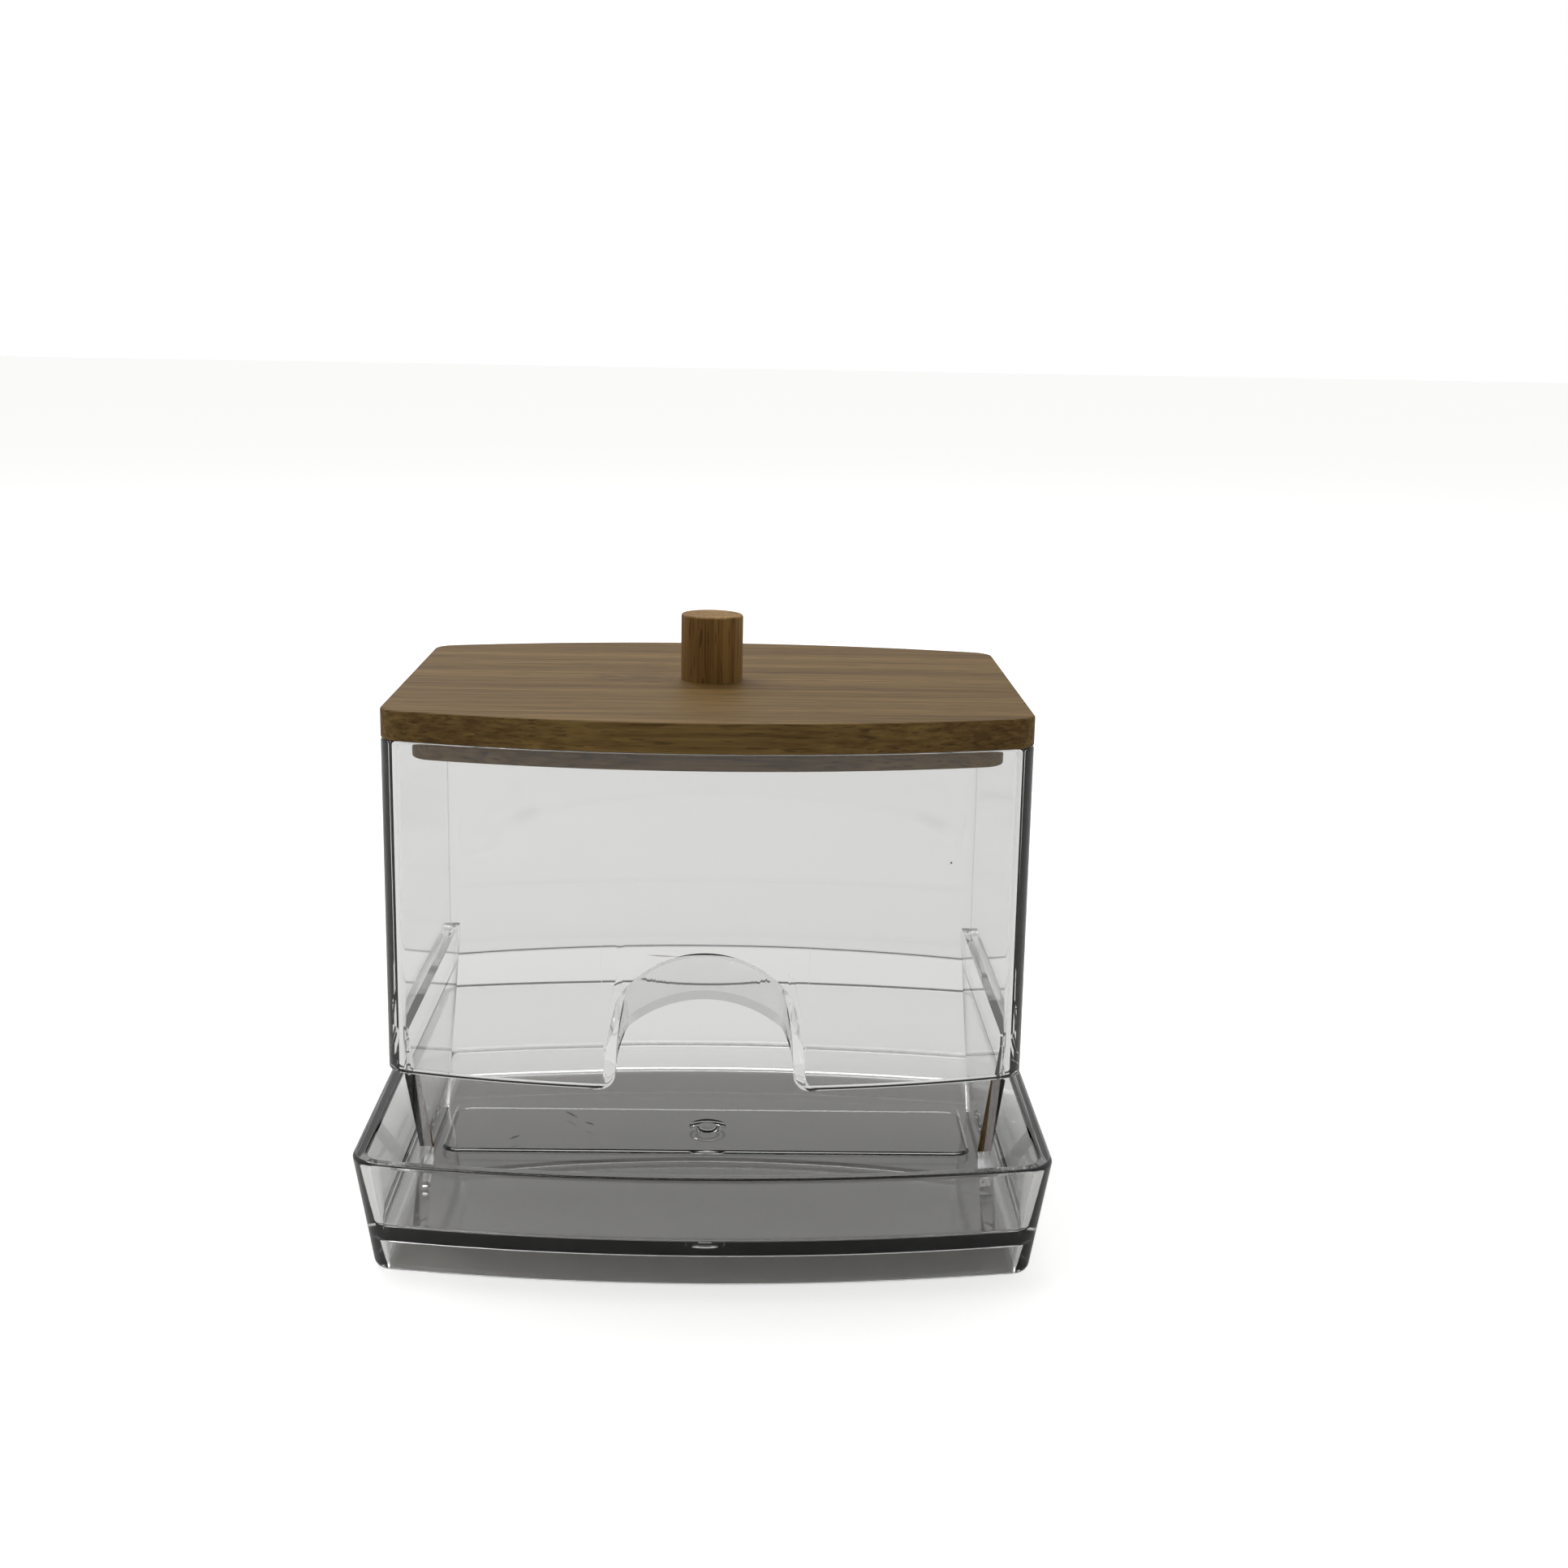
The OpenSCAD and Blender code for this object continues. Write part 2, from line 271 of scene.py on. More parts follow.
def sweep_tree():
    """Geometry Nodes tree that sweeps a wall section round a bowed rectangle.

    The section is the object's own mesh: each point's X is how far in from the outline it lies and
    its Z is its height. A point of the outline is a centre plus a radius along its own normal, so
    every row of the wall is a true parallel of the outline.
    """
    name = "Bowed wall"
    if name in bpy.data.node_groups:
        return bpy.data.node_groups[name]
    tree = bpy.data.node_groups.new(name, "GeometryNodeTree")
    face = tree.interface
    face.new_socket("Section", in_out="INPUT", socket_type="NodeSocketGeometry")
    for label in ("Half width", "Half depth", "Bow", "Corner radius"):
        face.new_socket(label, in_out="INPUT", socket_type="NodeSocketFloat").subtype = "DISTANCE"
    face.new_socket("Steps", in_out="INPUT", socket_type="NodeSocketInt")
    face.new_socket("Material", in_out="INPUT", socket_type="NodeSocketMaterial")
    face.new_socket("Wall", in_out="OUTPUT", socket_type="NodeSocketGeometry")
    given = add(tree, "NodeGroupInput").outputs
    math_node, vector_node = "ShaderNodeMath", "ShaderNodeVectorMath"

    # The two circles that an outline is made of: the bow's and the corner's
    half_w, bow, corner = given["Half width"], given["Bow"], given["Corner radius"]
    w2 = add(tree, math_node, (half_w, half_w), operation="MULTIPLY")
    w2_b2 = add(tree, math_node, (bow, bow, w2), operation="MULTIPLY_ADD")
    twice_bow = add(tree, math_node, (bow, 2.0), operation="MULTIPLY")
    bow_r = add(tree, math_node, (w2_b2, twice_bow), operation="DIVIDE")
    apex = add(tree, math_node, (given["Half depth"], bow), operation="ADD")
    bow_y = add(tree, math_node, (apex, bow_r), operation="SUBTRACT")
    corner_x = add(tree, math_node, (half_w, corner), operation="SUBTRACT")
    reach = add(tree, math_node, (bow_r, corner), operation="SUBTRACT")
    reach2 = add(tree, math_node, (reach, reach), operation="MULTIPLY")
    corner_x2 = add(tree, math_node, (corner_x, corner_x), operation="MULTIPLY")
    rise2 = add(tree, math_node, (reach2, corner_x2), operation="SUBTRACT")
    rise = add(tree, math_node, (rise2,), operation="SQRT")
    corner_y = add(tree, math_node, (bow_y, rise), operation="ADD")
    corner_share = add(tree, math_node, (corner_x, reach), operation="DIVIDE")
    turn = add(tree, math_node, (corner_share,), operation="ARCCOSINE")
    rest = add(tree, math_node, (math.pi / 2, turn), operation="SUBTRACT")

    # A grid with one column for each point of the outline and one row for each of the section
    per_quarter = add(tree, math_node, (given["Steps"], 1.0), operation="ADD")
    round_all = add(tree, math_node, (per_quarter, 4.0), operation="MULTIPLY")
    columns = add(tree, math_node, (round_all, 1.0), operation="ADD")
    counted = add(tree, "GeometryNodeAttributeDomainSize", {"Geometry": given["Section"]}, component="MESH")
    grid = add(tree, "GeometryNodeMeshGrid", {
        "Size X": 1.0, "Size Y": 1.0, "Vertices X": columns, "Vertices Y": counted.outputs["Point Count"]})
    here = add(tree, "GeometryNodeInputPosition")
    apart = add(tree, "ShaderNodeSeparateXYZ", (here,))
    across = add(tree, math_node, (apart.outputs["X"], 0.5), operation="ADD")
    column_raw = add(tree, math_node, (across, round_all), operation="MULTIPLY")
    column_whole = add(tree, math_node, (column_raw,), operation="ROUND")
    column = add(tree, math_node, (column_whole, round_all), operation="MODULO")
    upward = add(tree, math_node, (apart.outputs["Y"], 0.5), operation="ADD")
    last_row = add(tree, math_node, (counted.outputs["Point Count"], 1.0), operation="SUBTRACT")
    row_raw = add(tree, math_node, (upward, last_row), operation="MULTIPLY")
    row = add(tree, math_node, (row_raw,), operation="ROUND")
    at_row = add(tree, "GeometryNodeSampleIndex", {
        "Geometry": given["Section"], "Value": here, "Index": row}, data_type="FLOAT_VECTOR")
    section = add(tree, "ShaderNodeSeparateXYZ", (at_row,))

    # Which quarter a column is in, and how far round that quarter, from the side to the middle
    quarter_raw = add(tree, math_node, (column, per_quarter), operation="DIVIDE")
    quarter = add(tree, math_node, (quarter_raw,), operation="FLOOR")
    passed = add(tree, math_node, (quarter, per_quarter), operation="MULTIPLY")
    step = add(tree, math_node, (column, passed), operation="SUBTRACT")
    fraction = add(tree, math_node, (step, given["Steps"]), operation="DIVIDE")
    odd = add(tree, math_node, (quarter, 2.0), operation="MODULO")
    there = add(tree, math_node, (odd, fraction), operation="SUBTRACT")
    along = add(tree, math_node, (there,), operation="ABSOLUTE")
    rear = add(tree, math_node, (quarter, 1.5), operation="GREATER_THAN")
    side_y = add(tree, math_node, (rear, -2.0, 1.0), operation="MULTIPLY_ADD")
    off_middle = add(tree, math_node, (quarter, 1.5), operation="SUBTRACT")
    off_size = add(tree, math_node, (off_middle,), operation="ABSOLUTE")
    right = add(tree, math_node, (off_size, 1.0), operation="GREATER_THAN")
    side_x = add(tree, math_node, (right, 2.0, -1.0), operation="MULTIPLY_ADD")

    # The normal turns through the corner first and through the bow after it
    corner_part = 0.3
    in_corner = add(tree, "ShaderNodeMapRange", {
        "Value": along, "From Min": 0.0, "From Max": corner_part, "To Min": 0.0, "To Max": turn})
    in_bow = add(tree, "ShaderNodeMapRange", {
        "Value": along, "From Min": corner_part, "From Max": 1.0, "To Min": 0.0, "To Max": rest})
    angle = add(tree, math_node, (in_corner, in_bow), operation="ADD")
    on_bow = add(tree, math_node, (along, corner_part), operation="GREATER_THAN")
    centre_x = add(tree, "ShaderNodeMix", {"Factor": on_bow, "A": corner_x, "B": 0.0})
    centre_y = add(tree, "ShaderNodeMix", {"Factor": on_bow, "A": corner_y, "B": bow_y})
    radius = add(tree, "ShaderNodeMix", {"Factor": on_bow, "A": corner, "B": bow_r})
    drawn_in = add(tree, math_node, (radius, section.outputs["X"]), operation="SUBTRACT")
    cosine = add(tree, math_node, (angle,), operation="COSINE")
    sine = add(tree, math_node, (angle,), operation="SINE")
    x = add(tree, math_node, (drawn_in, cosine, centre_x), operation="MULTIPLY_ADD")
    y = add(tree, math_node, (drawn_in, sine, centre_y), operation="MULTIPLY_ADD")
    sides = add(tree, "ShaderNodeCombineXYZ", (side_x, side_y, 1.0))
    quarter_point = add(tree, "ShaderNodeCombineXYZ", (x, y, section.outputs["Z"]))
    point = add(tree, vector_node, (quarter_point, sides), operation="MULTIPLY")
    placed = add(tree, "GeometryNodeSetPosition", {"Geometry": grid, "Position": point})
    joined = add(tree, "GeometryNodeMergeByDistance", {"Geometry": placed, "Distance": 1e-6})
    real = add(tree, "GeometryNodeRealizeInstances", (joined,))
    finished = add(tree, "GeometryNodeSetMaterial", {"Geometry": real, "Material": given["Material"]})
    add(tree, "NodeGroupOutput", (finished,))
    return tree


def bowed_wall(name, section, outline, material, closed=False):
    """A wall with the given section swept round a bowed rectangle, open where the section ends."""
    shape = bmesh.new()
    points = [shape.verts.new((p.x, 0, p.y)) for p in section]
    for a, b in zip(points, points[1:]):
        shape.edges.new((a, b))
    if closed:
        shape.verts.ensure_lookup_table()
        end = shape.verts.new(points[0].co)
        shape.edges.new((points[-1], end))
    made = as_object(name, shape)
    swept = made.modifiers.new("Bowed wall", "NODES")
    swept.node_group = sweep_tree()
    values = dict(zip(("Half width", "Half depth", "Bow", "Corner radius"), outline))
    values["Steps"] = bpy.context.scene.dispenser_detail.steps
    values["Material"] = material
    for item in swept.node_group.interface.items_tree:
        if item.in_out == "INPUT" and item.name in values:
            swept[item.identifier] = values[item.name]
    return settle(made)


def drawn_in(outline, inset, corner):
    """The outline of a bowed rectangle that lies inset inside another, with its own corners."""
    half_w, half_d, bow, _ = outline
    bow_r = bow_radius(half_w, bow) - inset
    inner_w = half_w - inset
    inner_bow = bow_r - math.sqrt(bow_r ** 2 - inner_w ** 2)
    return inner_w, half_d + bow - inset - inner_bow, inner_bow, corner


def open_loops(shape):
    """The mesh's open edges, as lists of vertices in order, the lowest loop first."""
    left = {e for e in shape.edges if len(e.link_faces) == 1}
    loops = []
    while left:
        edge = left.pop()
        loop = list(edge.verts)
        while True:
            onward = next((e for e in loop[-1].link_edges if e in left), None)
            if onward is None:
                break
            left.remove(onward)
            loop.append(onward.other_vert(loop[-1]))
        loops.append(loop[:-1] if loop[-1] is loop[0] else loop)
    return sorted(loops, key=lambda loop: loop[0].co.z)


def cap(obj):
    """Close a swept wall's open ends with flat faces."""
    shape = bmesh.new()
    shape.from_mesh(obj.data)
    for loop in open_loops(shape):
        shape.faces.new(loop)
    bmesh.ops.recalc_face_normals(shape, faces=shape.faces)
    shape.to_mesh(obj.data)
    shape.free()
    return obj


def rounded_rectangle(half_x, half_y, corner, z):
    """Points round a rectangle with rounded corners, at height z."""
    steps = 8
    points = []
    for k, (sx, sy) in enumerate(((1, 1), (-1, 1), (-1, -1), (1, -1))):
        for i in range(steps + 1):
            a = math.pi / 2 * (k + i / steps)
            x = sx * (half_x - corner) + corner * math.cos(a)
            y = sy * (half_y - corner) + corner * math.sin(a)
            points.append(Vector((x, y, z)))
    return points


def circle(radius, z, steps=96, tilt=0.0):
    """Points round a circle at height z, which falls towards +X where it is tilted."""
    turns = [2 * math.pi * i / steps for i in range(steps)]
    return [Vector((radius * math.cos(a), radius * math.sin(a), z - tilt * (radius + radius * math.cos(a))))
            for a in turns]


def build_tray(sizes, material):
    """The tray: skirt, walls and rim in one sweep, with a floor that holds the pad and the gate mark."""
    slope = math.tan(sizes.draft)
    ledge, ceiling_edge, inner_foot_edge = 0.4 * MM, 0.25 * MM, 0.4 * MM
    # The sweep's corners are a little rounder than the solid's
    softer_corner = 0.6 * MM

    def taper(z):
        return (sizes.height - z) * slope

    def inner(z):
        return sizes.wall + taper(z)

    under = sizes.floor - sizes.floor_thick
    section = rounded([
        (inner(under) + ledge, under, 0),
        (inner(under), under, ceiling_edge),
        (inner(0), 0, inner_foot_edge),
        (taper(0), 0, sizes.foot_edge),
        (0, sizes.height, sizes.rim_edge),
        (sizes.wall, sizes.height, sizes.rim_edge),
        (inner(sizes.floor), sizes.floor, sizes.fillet),
        (inner(sizes.floor) + sizes.fillet, sizes.floor, 0),
    ])
    outline = (sizes.half_width, sizes.half_depth, sizes.bow, sizes.corner + softer_corner)
    tray = bowed_wall("tray_body", section, outline, material)
    shape = bmesh.new()
    shape.from_mesh(tray.data)
    underside, floor_edge = open_loops(shape)
    flat = [shape.faces.new(underside)]

    # The pad's edge rises in a soft step: each row's inset, and its share of the pad's height
    corner = sizes.pad_half_depth / 4
    pad_rows = []
    for inset, share in ((0, 0), (0.12 * MM, 0.3), (0.25 * MM, 0.75), (0.5 * MM, 1)):
        ring = rounded_rectangle(
            sizes.pad_half_width - inset, sizes.pad_half_depth - inset, corner - inset,
            sizes.floor + sizes.pad_height * share)
        pad_rows.append([shape.verts.new(p) for p in ring])
    # The gate mark is a round groove in the pad
    pad_z = sizes.floor + sizes.pad_height
    groove = sizes.gate / 4
    groove_depth = 0.8 * groove
    groove_steps, gate_steps = 8, 64
    gate_rows = []
    for k in range(groove_steps + 1):
        a = math.pi * k / groove_steps
        ring = circle(sizes.gate - groove * (1 - math.cos(a)), pad_z - groove_depth * math.sin(a), gate_steps)
        gate_rows.append([shape.verts.new(p) for p in ring])
    bridge(shape, pad_rows)
    bridge(shape, gate_rows)
    flat.append(shape.faces.new(gate_rows[-1]))
    for outer, hole in ((floor_edge, pad_rows[0]), (pad_rows[-1], gate_rows[0])):
        edges = []
        for loop in (outer, hole):
            for a, b in zip(loop, loop[1:] + loop[:1]):
                edges.append(shape.edges.get((a, b)) or shape.edges.new((a, b)))
        filled = bmesh.ops.triangle_fill(shape, edges=edges, use_beauty=True, use_dissolve=False)
        flat += [f for f in filled["geom"] if isinstance(f, bmesh.types.BMFace)]
    bmesh.ops.recalc_face_normals(shape, faces=shape.faces)
    shape.faces.index_update()
    flat_faces = [f.index for f in flat]
    shape.to_mesh(tray.data)
    shape.free()
    return smooth(tray, flat=flat_faces)


def notch_half(notch, skirt, spring, crown):
    """Half of a notch's outline, from its rounded foot up to the crown, as (x, z)."""
    foot_steps, flank_steps, arch_steps = 8, 12, 24
    rise = crown - spring
    arch_r = (notch.spring_half_width ** 2 + rise ** 2) / (2 * rise)
    arch_turn = math.asin(notch.spring_half_width / arch_r)
    c, w, v = notch.corner, notch.half_width, notch.spring_half_width
    points = [(w + c, skirt - c)]
    for i in range(foot_steps + 1):
        a = math.pi / 2 * i / foot_steps
        points.append((w + c * (1 - math.sin(a)), skirt + c * (1 - math.cos(a))))
    for i in range(1, flank_steps + 1):
        t = i / flank_steps
        points.append((w + (v - w) * t * t, skirt + c + (spring - skirt - c) * t))
    for i in range(1, arch_steps + 1):
        a = arch_turn * (1 - i / arch_steps)
        points.append((arch_r * math.sin(a), crown - arch_r * (1 - math.cos(a))))
    return points, foot_steps + 1


def notch_ring(hopper, notch, half, first_flank, front, leaning, out, up):
    """A notch's whole outline in space, moved out and up, and in from the hopper's front face."""
    bow_r = bow_radius(hopper.half_width, hopper.bow)
    # The foot leans in a hair too, so that no two points of the rings fall together
    least_lean = 0.1 * MM
    last = len(half) - 1
    side = []
    for i, (x, z) in enumerate(half):
        way = Vector((0, 1))
        if i <= first_flank:
            way = Vector((1, 0))
        elif i < last:
            along = Vector(half[i + 1]) - Vector(half[i - 1])
            way = Vector((along.y, -along.x)).normalized()
        face = hopper.half_depth + hopper.bow - bow_r + math.sqrt(bow_r ** 2 - x * x)
        lean = max(least_lean, notch.depth * (z - hopper.skirt) / notch.inner_crown) if leaning else 0
        side.append(Vector((x + out * way.x, front - face + lean, z + up * way.y)))
    return side + [Vector((-p.x, p.y, p.z)) for p in reversed(side[:-1])]


def build_hopper(sizes, notch, material):
    """The hopper: bowed walls in one sweep, two legs and the hood joined on, and the notch cut out."""
    section = rounded([
        (sizes.wall / 2, sizes.skirt, 0),
        (0, sizes.skirt, sizes.edge),
        (0, HOPPER_HIGH.z, sizes.edge),
        (sizes.wall, HOPPER_HIGH.z, sizes.edge),
        (sizes.wall, sizes.skirt, sizes.edge),
        (sizes.wall / 2, sizes.skirt, 0),
    ])[:-1]
    outline = (sizes.half_width, sizes.half_depth, sizes.bow, sizes.corner)
    hopper = bowed_wall("hopper_body", section, outline, material, closed=True)

    # The cutter runs past the walls. The hood starts just inside the front face, and a hair above the
    # walls' lower edges.
    past, skin, hair = 1 * MM, 0.1 * MM, 0.02 * MM
    base = sizes.skirt
    outer, first = notch_half(notch, base, base + notch.outer_spring, base + notch.outer_crown)
    inner, first = notch_half(notch, base, base + notch.inner_spring, base + notch.inner_crown)
    slope = (notch.outer_crown - notch.inner_crown) / notch.depth
    thick_up = notch.hood * math.sqrt(1 + slope ** 2)
    hood = loft("hood", [
        notch_ring(sizes, notch, outer, first, skin, False, notch.hood, thick_up),
        notch_ring(sizes, notch, inner, first, skin, True, notch.hood, thick_up),
    ])
    trim = hood.modifiers.new("Trim", "BOOLEAN")
    trim.operation, trim.solver = "INTERSECT", "EXACT"
    half = sizes.half_width
    keeper = loft("keeper", [
        [Vector((x * half, y * half, z)) for x, y in ((-1, -1), (1, -1), (1, 1), (-1, 1))]
        for z in (base + hair, base + 2 * notch.outer_crown)])
    trim.object = keeper
    settle(hood)
    air = loft("air", [
        notch_ring(sizes, notch, outer, first, -past, False, 0, 0),
        notch_ring(sizes, notch, outer, first, 0, False, 0, 0),
        notch_ring(sizes, notch, inner, first, 0, True, 0, 0),
        notch_ring(sizes, notch, inner, first, notch.depth + sizes.wall + past, False, 0, 0),
    ])
    # A leg is a plate against the inside of a side wall, which widens from its foot to its top
    top = sizes.half_depth - sizes.wall
    low = sizes.leg_top - sizes.wall
    toe, elbow, tip = 0.6 * MM, 3 * MM, 0.5 * MM
    profile = rounded([
        (0, sizes.foot, 0),
        (sizes.foot_half, sizes.foot, toe),
        (top, low, elbow),
        (top, sizes.leg_top, tip),
        (0, sizes.leg_top, 0),
    ])
    around = profile + [Vector((-p.x, p.y)) for p in reversed(profile[1:-1])]
    legs = []
    for side in (-1, 1):
        legs.append(loft("leg", [
            [Vector((side * x, p.x, p.y)) for p in around] for x in (sizes.leg_x - sizes.wall, sizes.leg_x)]))
    for other, operation in ((hood, "UNION"), (legs[0], "UNION"), (legs[1], "UNION"), (air, "DIFFERENCE")):
        step = hopper.modifiers.new(operation, "BOOLEAN")
        step.operation, step.solver, step.object = operation, "EXACT", other
    settle(hopper)
    for used in (hood, keeper, air, *legs):
        bpy.data.objects.remove(used)
    return smooth(hopper)


def build_lid(sizes, material):
    """The board with eased edges and the plug under it, each a bowed wall with flat ends."""
    outline = (sizes.half_width, sizes.half_depth, sizes.bow, sizes.corner)
    # The sweep ends a little way in from the eased edges, and the plug runs up into the board
    margin, into_board = 3 * sizes.edge, 1 * MM
    board = bowed_wall("board", rounded([
        (margin, sizes.rim, 0),
        (0, sizes.rim, sizes.edge),
        (0, sizes.top, sizes.edge),
        (margin, sizes.top, 0),
    ]), outline, material)
    plug = bowed_wall("plug", rounded([
        (margin, sizes.plug_bottom, 0),
        (0, sizes.plug_bottom, sizes.edge),
        (0, sizes.rim + into_board, 0),
    ]), drawn_in(outline, sizes.plug_inset, sizes.plug_corner), material)
    for part in (board, plug):
        cap(part)
    shape = bmesh.new()
    shape.from_mesh(board.data)
    shape.from_mesh(plug.data)
    bpy.data.objects.remove(plug)
    bpy.data.objects.remove(board)
    return smooth(as_object("lid_board", shape), 40)


def build_knob(sizes, material):
    """The dowel knob, sawn slightly out of square at the top."""
    r, e = sizes.knob_radius, sizes.edge
    out_of_square, edge_steps = 0.012, 4
    rings = [circle(r, sizes.knob_bottom)]
    for k in range(edge_steps + 1):
        a = math.pi / 2 * k / edge_steps
        z = sizes.knob_top - e + e * math.sin(a)
        rings.append(circle(r - e * (1 - math.cos(a)), z, tilt=out_of_square))
    return smooth(loft("dowel_knob", rings), 40)


def grain_coordinates(tree, stretch):
    """Object coordinates squeezed so that a pattern stretches out along the fibres."""
    where = add(tree, "ShaderNodeTexCoord")
    return add(tree, "ShaderNodeMapping", {"Vector": where.outputs["Object"], "Scale": stretch})


def bamboo(name, main, dark, fleck, fibres, flecks, knot=None):
    """Pressed bamboo strip, sanded and thinly oiled: straight fibres, short dark vessels, a satin sheen.

    The fibres and the flecks are given as how many of them fit in a metre along each axis.
    """
    material = bpy.data.materials.new(name)
    tree = fresh_tree(material)
    # Fibres about two thirds of a millimetre wide and a few centimetres long
    fine = add(tree, "ShaderNodeTexNoise", {
        "Vector": grain_coordinates(tree, fibres), "Scale": 1.0, "Detail": 3.0, "Roughness": 0.6})
    # Broad bands where one strip of the cane meets the next
    bands = add(tree, "ShaderNodeTexNoise", {
        "Vector": grain_coordinates(tree, tuple(f * 0.13 for f in fibres)), "Scale": 1.0, "Detail": 1.0})
    both = add(tree, "ShaderNodeMath", (fine.outputs["Fac"], 0.65, 0.0), operation="MULTIPLY_ADD")
    both = add(tree, "ShaderNodeMath", (bands.outputs["Fac"], 0.35, both), operation="MULTIPLY_ADD")
    ramp = add(tree, "ShaderNodeMapRange", {"Value": both, "From Min": 0.38, "From Max": 0.62})
    base = add(tree, "ShaderNodeMix", {"Factor": ramp, 6: (*dark, 1), 7: (*main, 1)}, data_type="RGBA")
    # Dark vessels, cut through as dashes a few millimetres long
    dashes = add(tree, "ShaderNodeTexNoise", {
        "Vector": grain_coordinates(tree, flecks), "Scale": 1.0, "Detail": 0.0})
    mask = add(tree, "ShaderNodeMapRange", {
        "Value": dashes.outputs["Fac"], "From Min": 0.66, "From Max": 0.72, "To Max": 0.5})
    shown = add(tree, "ShaderNodeMix", {"Factor": mask, 6: base.outputs[2], 7: (*fleck, 1)}, data_type="RGBA")
    if knot is not None:
        # A node of the cane: a darker, ragged patch beside the knob, about 20 mm long and 11 mm wide
        spread = (90, 170, 170)
        spot = add(tree, "ShaderNodeMapping", {
            "Vector": add(tree, "ShaderNodeTexCoord").outputs["Object"],
            "Location": tuple(-c * s for c, s in zip(knot, spread)), "Scale": spread})
        far = add(tree, "ShaderNodeVectorMath", (spot,), operation="LENGTH")
        rough = add(tree, "ShaderNodeTexNoise", {
            "Vector": grain_coordinates(tree, (260, 900, 900)), "Scale": 1.0, "Detail": 2.0})
        ragged = add(tree, "ShaderNodeMath", (
            rough.outputs["Fac"], 2.4, far.outputs["Value"]), operation="MULTIPLY_ADD")
        patch = add(tree, "ShaderNodeMapRange", {
            "Value": ragged, "From Min": 2.1, "From Max": 1.1, "To Max": 0.5})
        shown = add(tree, "ShaderNodeMix", {
            "Factor": patch, 6: shown.outputs[2], 7: (*fleck, 1)}, data_type="RGBA")
    sheen = add(tree, "ShaderNodeMapRange", {"Value": both, "To Min": 0.62, "To Max": 0.5})
    relief = add(tree, "ShaderNodeBump", {"Height": both, "Strength": 0.25, "Distance": 0.0001})
    skin = add(tree, "ShaderNodeBsdfPrincipled", {
        "Base Color": shown.outputs[2], "Roughness": sheen.outputs[0], "Normal": relief, "IOR": 1.5,
        "Specular IOR Level": 0.2})
    add(tree, "ShaderNodeOutputMaterial", (skin,))
    return material


def clear_plastic(name, tint, marks, mark_colour):
    """Clear moulded polystyrene, polished and nearly colourless, with dark bent edges and a few marks.

    Each mark is (centre, half length, half width, turn about the mark's own normal, strength).
    """
    material = bpy.data.materials.new(name)
    tree = fresh_tree(material)
    body = add(tree, "ShaderNodeBsdfPrincipled", {
        "Base Color": (*tint, 1), "Roughness": 0.02, "IOR": 1.57, "Transmission Weight": 1.0})
    # Each mark is a streak, a rub or a speck that is strongest in its middle
    where = add(tree, "ShaderNodeTexCoord").outputs["Object"]
    total = None
    for centre, length, width, turn, strength in marks:
        local = add(tree, "ShaderNodeMapping", {
            "Vector": where, "Location": centre, "Rotation": turn, "Scale": (length, width, width)},
            vector_type="TEXTURE")
        far = add(tree, "ShaderNodeVectorMath", (local,), operation="LENGTH")
        near = add(tree, "ShaderNodeMapRange", {
            "Value": far.outputs["Value"], "From Min": 1.0, "From Max": 0.5, "To Max": strength})
        total = near if total is None else add(tree, "ShaderNodeMath", (total, near), operation="MAXIMUM")
    dirt = add(tree, "ShaderNodeBsdfDiffuse", {"Color": (*mark_colour, 1)})
    body = add(tree, "ShaderNodeMixShader", (total, body, dirt))
    # Lamps shine through the plastic, so that it throws a light shadow
    through = add(tree, "ShaderNodeBsdfTransparent", {"Color": (*(0.42 * t for t in tint), 1)})
    rays = add(tree, "ShaderNodeLightPath")
    both = add(tree, "ShaderNodeMixShader", (rays.outputs["Is Shadow Ray"], body, through))
    add(tree, "ShaderNodeOutputMaterial", (both,))
    return material


class DISPENSER_OT_hopper(bpy.types.Operator):
    """Build the clear hopper with its finger notch and legs"""
    bl_idname = "dispenser.hopper"
    bl_label = "Hopper"

    def execute(self, context):
        scene = context.scene
        colours = scene.dispenser_colours
        marks = [
            ((-31.8 * MM, -37 * MM, 75.9 * MM), 1.3 * MM, 0.9 * MM, (0, 0.9, 0), 0.16),
            ((12.7 * MM, -37.4 * MM, 78.3 * MM), 0.25 * MM, 0.25 * MM, (0, 0, 0), 0.8),
            ((36.5 * MM, -34 * MM, 63.9 * MM), 0.22 * MM, 0.22 * MM, (0, 0, 0), 0.8),
            # A thin dark line across the front face, along the crown of the notch's outer arch
            ((-8.3 * MM, -38 * MM, 50.2 * MM), 5.6 * MM, 0.14 * MM, (0, 0.03, 0), 0.55),
        ]
        material = clear_plastic("Clear polystyrene hopper", colours.plastic, marks, colours.scuff)
        piece = build_hopper(scene.dispenser_hopper, scene.dispenser_notch, material)
        finish_piece(piece, material, "hopper")
        return {"FINISHED"}


class DISPENSER_OT_tray(bpy.types.Operator):
    """Build the clear tray that the hopper stands in"""
    bl_idname = "dispenser.tray"
    bl_label = "Tray"

    def execute(self, context):
        scene = context.scene
        colours = scene.dispenser_colours
        # The marks lie on the pad, and their centres just under its face
        z = 7.7 * MM
        marks = [
            ((-23.6 * MM, 4.6 * MM, z), 2.2 * MM, 0.3 * MM, (0, 0, -0.9), 0.7),
            ((-20.2 * MM, 0.6 * MM, z), 1.3 * MM, 0.3 * MM, (0, 0, -0.7), 0.7),
            ((-32.3 * MM, -5.7 * MM, z), 1.4 * MM, 0.35 * MM, (0, 0, 0.8), 0.7),
        ]
        material = clear_plastic("Clear polystyrene tray", colours.plastic, marks, colours.scuff)
        piece = build_tray(scene.dispenser_tray, material)
        finish_piece(piece, material, "tray")
        return {"FINISHED"}


